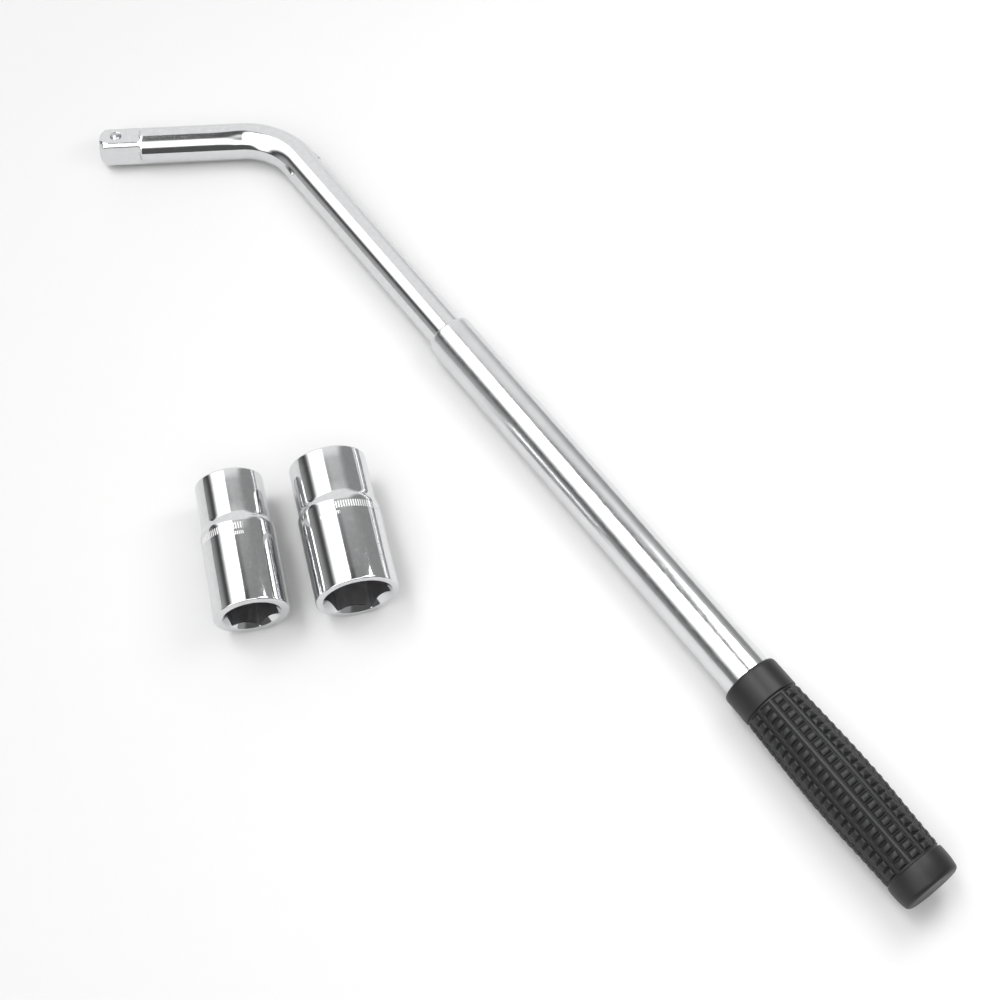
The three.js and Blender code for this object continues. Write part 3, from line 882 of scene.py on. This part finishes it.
class Sky:
    """The studio round the object, as light by direction."""

    def __init__(self):
        world = bpy.data.worlds.new("studio")
        bpy.context.scene.world = world
        world.use_nodes = True
        self.tree = world.node_tree
        self.background = self.tree.nodes["Background"]
        self.direction = self.tree.nodes.new("ShaderNodeTexCoord").outputs["Generated"]

    def dot(self, x, y, z):
        node = self.tree.nodes.new("ShaderNodeVectorMath")
        node.operation = "DOT_PRODUCT"
        node.inputs[1].default_value = (x, y, z)
        self.tree.links.new(self.direction, node.inputs[0])
        return node.outputs["Value"]

    def step(self, value, low, high):
        node = self.tree.nodes.new("ShaderNodeMapRange")
        node.interpolation_type = "SMOOTHSTEP"
        node.inputs["From Min"].default_value = min(low, high)
        node.inputs["From Max"].default_value = max(low, high)
        node.inputs["To Min"].default_value = 0.0 if low < high else 1.0
        node.inputs["To Max"].default_value = 1.0 if low < high else 0.0
        self.tree.links.new(value, node.inputs["Value"])
        return node.outputs[0]

    def times(self, *values):
        made = values[0]
        for value in values[1:]:
            node = self.tree.nodes.new("ShaderNodeMath")
            node.operation = "MULTIPLY"
            self.tree.links.new(made, node.inputs[0])
            self.tree.links.new(value, node.inputs[1])
            made = node.outputs[0]
        return made

    def over(self, below, amount, level):
        """Paints a level over what is below, where amount is 1."""
        node = self.tree.nodes.new("ShaderNodeMix")
        node.data_type = "FLOAT"
        self.tree.links.new(amount, node.inputs["Factor"])
        if isinstance(below, float):
            node.inputs["A"].default_value = below
        else:
            self.tree.links.new(below, node.inputs["A"])
        node.inputs["B"].default_value = level
        return node.outputs["Result"]

    def use(self, level, strength):
        self.tree.links.new(level, self.background.inputs["Color"])
        self.background.inputs["Strength"].default_value = strength


SOFT_BOX = 2.4
HOT_SPOT = 11.0
CARD_AT = Vector((0.225, 0.06, 0.37))
CARD_TOWARDS = Vector((0.11, -0.11, 0.012))
CARD_WIDTH = 0.15
CARD_LENGTH = 0.27
CARD_POWER = 0.95


def studio():
    """A large soft box overhead on the left and towards the viewer, pale and dark walls round it,
    and a small soft light beyond the grip."""
    sky = Sky()
    right, far, up = sky.dot(1, 0, 0), sky.dot(0, 1, 0), sky.dot(0, 0, 1)
    far_wall = sky.times(sky.step(sky.dot(-0.2, 1, 0), 0.42, 0.55), sky.step(right, 0.62, 0.34))
    level = sky.over(0.34, far_wall, 1.02)
    level = sky.over(level, sky.times(
        sky.step(right, 0.10, -0.05), sky.step(far, 0.50, 0.38), sky.step(far, -0.30, 0.0)), 0.12)
    level = sky.over(level, sky.step(far, -0.76, -0.82), 0.11)
    left_wall = sky.times(sky.step(right, -0.76, -0.82), sky.step(far, -0.9, -0.7))
    level = sky.over(level, left_wall, 0.09)
    level = sky.over(level, sky.times(left_wall, sky.step(right, -0.88, -1.0)), 0.5)
    side = sky.times(
        sky.step(right, -0.155, -0.235), sky.step(right, -0.86, -0.66), sky.step(far, 0.56, 0.48),
        sky.step(far, -0.82, -0.68), sky.step(up, 0.15, 0.25))
    near = sky.times(
        sky.step(right, 0.5, 0.4), sky.step(right, -0.86, -0.66), sky.step(far, -0.08, -0.40),
        sky.step(far, -0.82, -0.68), sky.step(up, 0.15, 0.25))
    level = sky.over(level, side, SOFT_BOX)
    hot = sky.times(
        sky.step(right, -0.19, -0.27), sky.step(right, -0.52, -0.34), sky.step(far, -0.16, 0.0),
        sky.step(far, 0.46, 0.34))
    level = sky.over(level, hot, HOT_SPOT)
    level = sky.over(level, near, SOFT_BOX)
    sky.use(level, 1.0)
    data = bpy.data.lights.new("card", "AREA")
    data.shape = "RECTANGLE"
    data.size, data.size_y = CARD_WIDTH, CARD_LENGTH
    data.energy = CARD_POWER
    made = bpy.data.objects.new("card", data)
    bpy.context.scene.collection.objects.link(made)
    made.location = CARD_AT
    made.rotation_mode = "QUATERNION"
    made.rotation_quaternion = (CARD_TOWARDS - CARD_AT).to_track_quat("-Z", "Y")


def camera():
    """Above the surface, looking down at it and a little to the right."""
    azimuth, elevation, distance = math.radians(-3.122), math.radians(63.066), 0.76528
    target = Vector((0.00511, -0.00979, 0.010))
    forward = Vector((
        -math.sin(azimuth) * math.cos(elevation), math.cos(azimuth) * math.cos(elevation), -math.sin(elevation)))
    data = bpy.data.cameras.new("camera")
    data.sensor_width = 36.0
    data.lens = 68.46
    data.clip_start, data.clip_end = 0.01, 50.0
    made = bpy.data.objects.new("camera", data)
    bpy.context.scene.collection.objects.link(made)
    made.location = target - forward * distance
    made.rotation_mode = "QUATERNION"
    made.rotation_quaternion = forward.to_track_quat("-Z", "Y")
    bpy.context.scene.camera = made


floor()
studio()
camera()
bpy.context.scene.view_settings.view_transform = "Standard"
bpy.context.scene.view_settings.look = "None"
